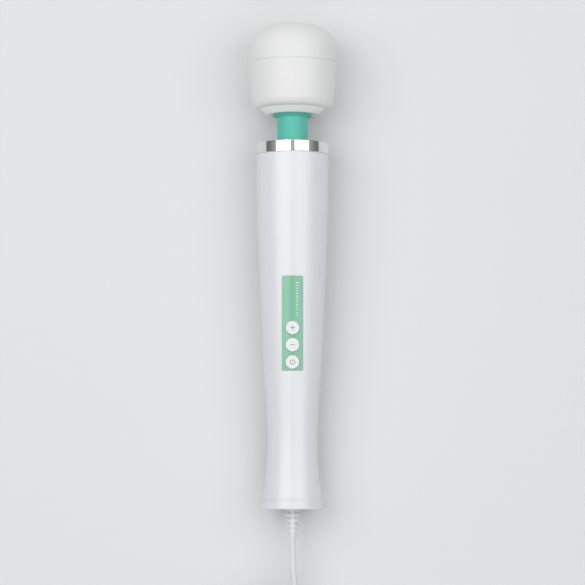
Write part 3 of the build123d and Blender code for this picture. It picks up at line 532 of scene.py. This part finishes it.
def wound_wire(name, radius, wire, pitch, low, high, phase):
    """A round wire wound about the wand's axis, with its ends at low and high."""
    turns = (high - low) / pitch
    steps = round(turns * WIRE_STEPS)
    slope = math.atan2(pitch, 2 * math.pi * radius)

    def build(bm):
        rings = []
        for step in range(steps + 1):
            height = low + (high - low) * step / steps
            angle = phase + 2 * math.pi * (height - low) / pitch
            ring = []
            for side in range(WIRE_SIDES):
                around = 2 * math.pi * side / WIRE_SIDES
                out = radius + wire / 2 * math.cos(around)
                up = wire / 2 * math.sin(around) * math.cos(slope)
                back = wire / 2 * math.sin(around) * math.sin(slope)
                x = out * math.cos(angle) + back * math.sin(angle)
                y = out * math.sin(angle) - back * math.cos(angle)
                ring.append(bm.verts.new(place(x, y, height + up)))
            rings.append(ring)
        for lower, upper in zip(rings, rings[1:]):
            for side in range(WIRE_SIDES):
                after = (side + 1) % WIRE_SIDES
                bm.faces.new((lower[side], lower[after], upper[after], upper[side]))
        bm.faces.new(rings[0][::-1])
        bm.faces.new(rings[-1])

    return new_piece(name, build)


WIRES = {  # node: mean radius, wire, pitch, its lowest and highest middle, and where it is firm above
    "neck_spring": (7.3, 1.8, 3.9, 228.0, 265.0, HEAD_BOTTOM),
    "flexible_drive_coil": (3.0, 1.2, 1.5, 232.7, 259.3, 254.9),  # on the head hub's spigot
}
for node, (radius, wire, pitch, low, high, firm) in WIRES.items():
    reached = 2 * math.pi * (NECK_SPLIT - low) / pitch
    lower_wire = wound_wire(node + "_lower", radius, wire, pitch, low, NECK_SPLIT, 0.0)
    upper_wire = wound_wire(node + "_upper", radius, wire, pitch, NECK_SPLIT, high, reached)
    for piece, bodies, joint in (
        (lower_wire, ("handle", "neck"), NECK_LOWER_JOINT),
        (upper_wire, ("neck", "head"), NECK_UPPER_JOINT),
    ):
        finish_piece(piece, STEEL, None, [node], sharp=60)
        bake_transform(piece)

# ---------------------------------------------------------------- signs and marks
PRINT_LIFT, PRINT_SUNK = 0.05, 0.04  # above and below the surface that a sign is printed on
FAR_OUT = 60  # outside everything, where the search for a surface starts


def surface(node):
    """A CAD node's surface, to print on."""
    mesh = frame["nodes"][node].data
    return BVHTree.FromPolygons([v.co for v in mesh.vertices], [p.vertices for p in mesh.polygons])


def printed(name, node, outlines, body, material):
    """Thin closed prints on a node, each from its outline's (across, height) points."""
    tree = surface(node)

    def build(bm):
        for outline in outlines:
            hits = [tree.ray_cast(place(x, FAR_OUT, height), -OUT)[0] for x, height in outline]
            top = [bm.verts.new(hit + OUT * PRINT_LIFT * MM) for hit in hits]
            low = [bm.verts.new(hit - OUT * PRINT_SUNK * MM) for hit in hits]
            bm.faces.new(top)
            bm.faces.new(low[::-1])
            for i in range(len(outline)):
                after = (i + 1) % len(outline)
                bm.faces.new((low[i], low[after], top[after], top[i]))

    return finish_piece(new_piece(name, build), material, body, sharp=30)


def bar(x, height, wide, tall):
    """A rectangle's outline."""
    return [
        (x - wide / 2, height - tall / 2), (x + wide / 2, height - tall / 2),
        (x + wide / 2, height + tall / 2), (x - wide / 2, height + tall / 2),
    ]


def band(x, height, radius, wide, start, end, steps=24):
    """An arc-shaped band's outline."""
    outer = arc((x, height), radius + wide / 2, start, end, steps)
    return outer + arc((x, height), radius - wide / 2, end, start, steps)


def cross(x, height, span, wide):
    """A plus sign's outline."""
    a, b = span / 2, wide / 2
    corners = [
        (-b, -a), (b, -a), (b, -b), (a, -b), (a, b), (b, b),
        (b, a), (-b, a), (-b, b), (-a, b), (-a, -b), (-b, -b),
    ]
    return [(x + dx, height + dy) for dx, dy in corners]


STROKE, SIGN_SPAN = 0.55, 3.2
RING_DOWN, RING_RADIUS, RING_FROM, RING_TO = 0.15, 1.45, 125, 415  # the power sign's open ring
TICK_UP, TICK_TALL = 1.1, 1.9  # and the tick in its gap
KEY_HEIGHTS = {"power": 95.3, "minus": 106.4, "plus": 117.5}
SIGNS = {
    "power": [
        band(0, KEY_HEIGHTS["power"] - RING_DOWN, RING_RADIUS, STROKE, RING_FROM, RING_TO),
        bar(0, KEY_HEIGHTS["power"] + TICK_UP, STROKE, TICK_TALL),
    ],
    "minus": [bar(0, KEY_HEIGHTS["minus"], SIGN_SPAN, STROKE)],
    "plus": [cross(0, KEY_HEIGHTS["plus"], SIGN_SPAN, STROKE)],
}
for key, outlines in SIGNS.items():
    printed(f"sign_{key}", f"button_{key}", outlines, f"{key}_key", SIGN_GREY)

SCALE_X, SCALE_LOW, SCALE_STEP, SCALE_MARKS = 3.0, 125.6, 1.75, 13
MARK_WIDE, MARK_GROWS, MARK_TALL = 0.9, 0.08, 0.5
scale = [
    bar(SCALE_X, SCALE_LOW + i * SCALE_STEP, MARK_WIDE + MARK_GROWS * i, MARK_TALL)
    for i in range(SCALE_MARKS)
]
printed("panel_scale", "control_panel", scale, "handle", MARK_PALE)

# ---------------------------------------------------------------- collar
EDGE, COLLAR_SIDES = 0.45, 160
COLLAR_START = COLLAR_LOW + 0.1  # clear of the handle
PLATE_INSIDE = COLLAR_RADIUS - 1.1
RIM_INSIDE, RIM_THICK = COLLAR_RADIUS - 2.2, 0.55  # the flat rim turned in over the top
collar_profile = (
    arc((COLLAR_RADIUS - EDGE, COLLAR_START + EDGE), EDGE, -90, 0, 6)
    + [(COLLAR_RADIUS, h) for h in stations(COLLAR_LOW + 1, COLLAR_TOP - 1, 1.0)]
    + arc((COLLAR_RADIUS - EDGE, COLLAR_TOP - EDGE), EDGE, 0, 90, 6)
    + [(RIM_INSIDE, COLLAR_TOP), (RIM_INSIDE, COLLAR_TOP - RIM_THICK)]
    + [(PLATE_INSIDE, COLLAR_TOP - RIM_THICK), (PLATE_INSIDE, COLLAR_START)]
)
collar = lathe("collar_plate", collar_profile, COLLAR_SIDES)
finish_piece(collar, CHROME, "handle", ["collar_ring"], sharp=40)

# ---------------------------------------------------------------- finishes of the CAD pieces
FINISHES = {
    HANDLE_WHITE: ["front_shell", "rear_shell", "base_cap"],
    PANEL_TURQUOISE: ["control_panel"],
    KEY_WHITE: ["button_power", "button_minus", "button_plus"],
    RING_WHITE: ["screw_plugs"],
    RELIEF_PVC: ["cord_relief", "adapter_relief"],
    CORD_PVC: ["cord_tail"],
    TIE_BLACK: ["cord_tie"],
    ADAPTER_ABS: ["adapter_rear_half", "adapter_front_half"],
    PIN_METAL: ["adapter_pins"],
    BOARD_GREEN: ["control_board", "adapter_board"],
    DARK_PLASTIC: ["board_components", "motor_endbell", "tact_switches", "motor_commutator"],
    CORE_PLASTIC: ["head_core_lower", "head_core_upper", "neck_socket", "cord_clamp"],
    MOUNT_RUBBER: ["motor_mounts"],
    MAGNET: ["motor_magnets", "motor_armature", "motor_brushes", "eccentric_weight"],
    COPPER: ["motor_windings", "motor_bushings", "motor_terminals"],
    LEAD_RED: ["supply_leads", "motor_leads"],
    STEEL: [
        "shell_screws", "board_screws", "clamp_screws", "core_screws", "weight_screw",
        "motor_shaft", "motor_can", "eccentric_shaft",
        "lower_coupling_hub", "upper_coupling_hub",
        "bearing_outer_races", "bearing_inner_races", "bearing_balls",
    ],
}
for material, names in FINISHES.items():
    for name in names:
        mesh = frame["nodes"][name].data
        mesh.materials.clear()
        mesh.materials.append(material)
        mesh.shade_smooth()
        mesh.set_sharp_from_angle(angle=math.radians(32))

# ---------------------------------------------------------------- floor and light
FLOOR_GREY = (0.755, 0.755, 0.757)


def flat_piece(name, corners, material):
    def build(bm):
        bm.faces.new([bm.verts.new(corner) for corner in corners])

    piece = new_piece(name, build)
    piece.data.materials.append(material)
    return piece


floor_nodes = Nodes("floor_paper", roughness=0.7)
floor_nodes.colours(floor_nodes.noise(3, 3.0), shade(FLOOR_GREY, 0.985), shade(FLOOR_GREY, 1.01))
floor_nodes.bump(floor_nodes.noise(900, 4.0), 0.00004, 0.25)
FLOOR_HALF = 6.0
flat_piece(
    "floor",
    [(x * FLOOR_HALF, y * FLOOR_HALF, 0) for x, y in ((-1, -1), (1, -1), (1, 1), (-1, 1))],
    floor_nodes.material,
)


def area_light(name, position, target, size, power, colour=(1, 1, 1)):
    data = bpy.data.lights.new(name, "AREA")
    data.shape = "RECTANGLE"
    data.size, data.size_y = size
    data.energy = power
    data.color = colour
    light = bpy.data.objects.new(name, data)
    light.location = position
    light.rotation_mode = "QUATERNION"
    light.rotation_quaternion = (Vector(target) - Vector(position)).to_track_quat("-Z", "Y")
    bpy.context.scene.collection.objects.link(light)
    return light


area_light("key_box", (-0.71, 0.20, 1.28), (0, 0.0, 0), (0.92, 1.2), 7.7)
area_light("fill_box", (0.73, 0.10, 1.28), (0, 0.0, 0), (0.92, 1.2), 5.4)
area_light("head_box", (0.0, 1.5, 0.9), (0, 0.1, 0), (1.2, 0.5), 3.9)
area_light("front_box", (0.0, -1.3, 0.8), (0, -0.1, 0), (1.2, 0.5), 3.1)

WORLD_STRENGTH, ROOM_TO, CEILING_FROM = 0.54, 0.15, 0.75  # the tones meet between these heights
world = bpy.data.worlds.new("studio")
bpy.context.scene.world = world
world.use_nodes = True
sky = world.node_tree.nodes["Background"]
sky.inputs["Strength"].default_value = WORLD_STRENGTH
direction = world.node_tree.nodes.new("ShaderNodeTexCoord")
parts = world.node_tree.nodes.new("ShaderNodeSeparateXYZ")
height_share = world.node_tree.nodes.new("ShaderNodeMapRange")
height_share.interpolation_type = "SMOOTHSTEP"
height_share.inputs["From Min"].default_value = ROOM_TO
height_share.inputs["From Max"].default_value = CEILING_FROM
tones = world.node_tree.nodes.new("ShaderNodeMix")
tones.data_type = "RGBA"
tones.inputs["A"].default_value = (0.34, 0.345, 0.36, 1)  # the room behind the lights
tones.inputs["B"].default_value = (0.92, 0.93, 0.95, 1)  # the ceiling
world.node_tree.links.new(direction.outputs["Generated"], parts.inputs["Vector"])
world.node_tree.links.new(parts.outputs["Z"], height_share.inputs["Value"])
world.node_tree.links.new(height_share.outputs["Result"], tones.inputs["Factor"])
world.node_tree.links.new(tones.outputs["Result"], sky.inputs["Color"])
bpy.context.scene.view_settings.view_transform = "Standard"
